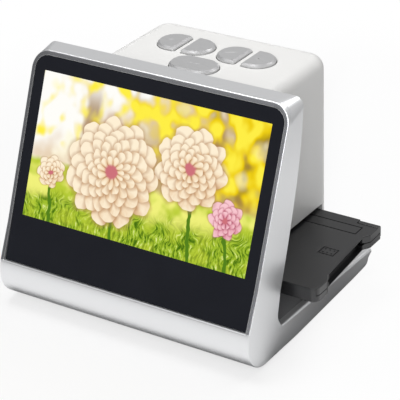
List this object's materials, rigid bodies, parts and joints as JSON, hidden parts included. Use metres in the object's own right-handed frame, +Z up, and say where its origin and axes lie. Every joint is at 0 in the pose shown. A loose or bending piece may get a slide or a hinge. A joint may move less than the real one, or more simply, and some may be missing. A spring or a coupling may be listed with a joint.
{
  "type": "film negative scanner",
  "caption": "Desktop film negative scanner: leaning display slab on a low base, tower with optics and push buttons, and a film holder with a hinged lid that slides through it.",
  "frame": {"origin": "on the ground, under the middle of the whole object's box", "axes": "+Z up, the display faces -Y, the film holder slides along X"},
  "size_m": [0.1516, 0.1042, 0.106],
  "materials": {
    "silver_lacquer": "satin silver lacquer on moulded plastic",
    "white_shell": "fine matt white moulded plastic",
    "front_glass": "black-backed gloss glass",
    "button_grey": "satin grey lacquer",
    "holder_plastic": "fine matt charcoal moulded plastic",
    "dark_plastic": "matt black moulded plastic",
    "grey_plastic": "matt dark grey moulded plastic",
    "rubber": "matt black rubber",
    "steel": "plated steel",
    "circuit_board": "green solder mask over laminate",
    "display_panel": "dark display panel",
    "lens_glass": "clear coated glass",
    "diffuser": "opal white diffuser",
    "cable_sleeve": "soft black sleeve"
  },
  "bodies": {
    "root": {"front_frame": "silver_lacquer", "base_shell": "silver_lacquer", "tower_housing": "white_shell", "light_box": "white_shell", "front_glass": "front_glass", "base_top_plate": "grey_plastic", "bottom_cover": "dark_plastic", "rear_panel": "dark_plastic", "upper_guide": "dark_plastic", "slot_floor": "dark_plastic", "optics_hood": "dark_plastic", "lens_barrel": "dark_plastic", "image_sensor": "dark_plastic", "foot_1": "rubber", "foot_2": "rubber", "foot_3": "rubber", "foot_4": "rubber", "button_1_switch": "steel", "button_2_switch": "steel", "button_3_switch": "steel", "button_4_switch": "steel", "button_5_switch": "steel", "display_bracket": "steel", "usb_socket": "steel", "video_socket": "steel", "card_socket": "steel", "tower_screw_1": "steel", "tower_screw_2": "steel", "tower_screw_3": "steel", "tower_screw_4": "steel", "cover_screw_1": "steel", "cover_screw_2": "steel", "cover_screw_3": "steel", "cover_screw_4": "steel", "key_board_screw_1": "steel", "key_board_screw_2": "steel", "display_driver_board": "circuit_board", "key_board": "circuit_board", "main_board": "circuit_board", "sensor_board": "circuit_board", "lamp_board": "circuit_board", "display_module": "display_panel", "lens": "lens_glass", "diffuser": "diffuser", "display_cable": "cable_sleeve", "lamp_cable": "cable_sleeve"},
    "film_holder": {"holder_tray": "holder_plastic", "holder_lid": "holder_plastic", "holder_hinge_pin": "steel"},
    "button_1": {"button_1": "button_grey", "button_1_plunger": "dark_plastic"},
    "button_2": {"button_2": "button_grey", "button_2_plunger": "dark_plastic"},
    "button_3": {"button_3": "button_grey", "button_3_plunger": "dark_plastic"},
    "button_4": {"button_4": "button_grey", "button_4_plunger": "dark_plastic"},
    "button_5": {"button_5": "button_grey", "button_5_plunger": "dark_plastic"}
  },
  "joints": [
    {"name": "film_holder_slide", "type": "slide", "parent": "root", "child": "film_holder", "axis": [1, 0, 0], "range_m": [-0.06, 0.06]},
    {"name": "button_1_press", "type": "slide", "parent": "root", "child": "button_1", "axis": [0, 0, -1], "range_m": [0, 0.0008], "stiffness_N_per_m": 1500},
    {"name": "button_2_press", "type": "slide", "parent": "root", "child": "button_2", "axis": [0, 0, -1], "range_m": [0, 0.0008], "stiffness_N_per_m": 1500},
    {"name": "button_3_press", "type": "slide", "parent": "root", "child": "button_3", "axis": [0, 0, -1], "range_m": [0, 0.0008], "stiffness_N_per_m": 1500},
    {"name": "button_4_press", "type": "slide", "parent": "root", "child": "button_4", "axis": [0, 0, -1], "range_m": [0, 0.0008], "stiffness_N_per_m": 1500},
    {"name": "button_5_press", "type": "slide", "parent": "root", "child": "button_5", "axis": [0, 0, -1], "range_m": [0, 0.0008], "stiffness_N_per_m": 1500}
  ]
}
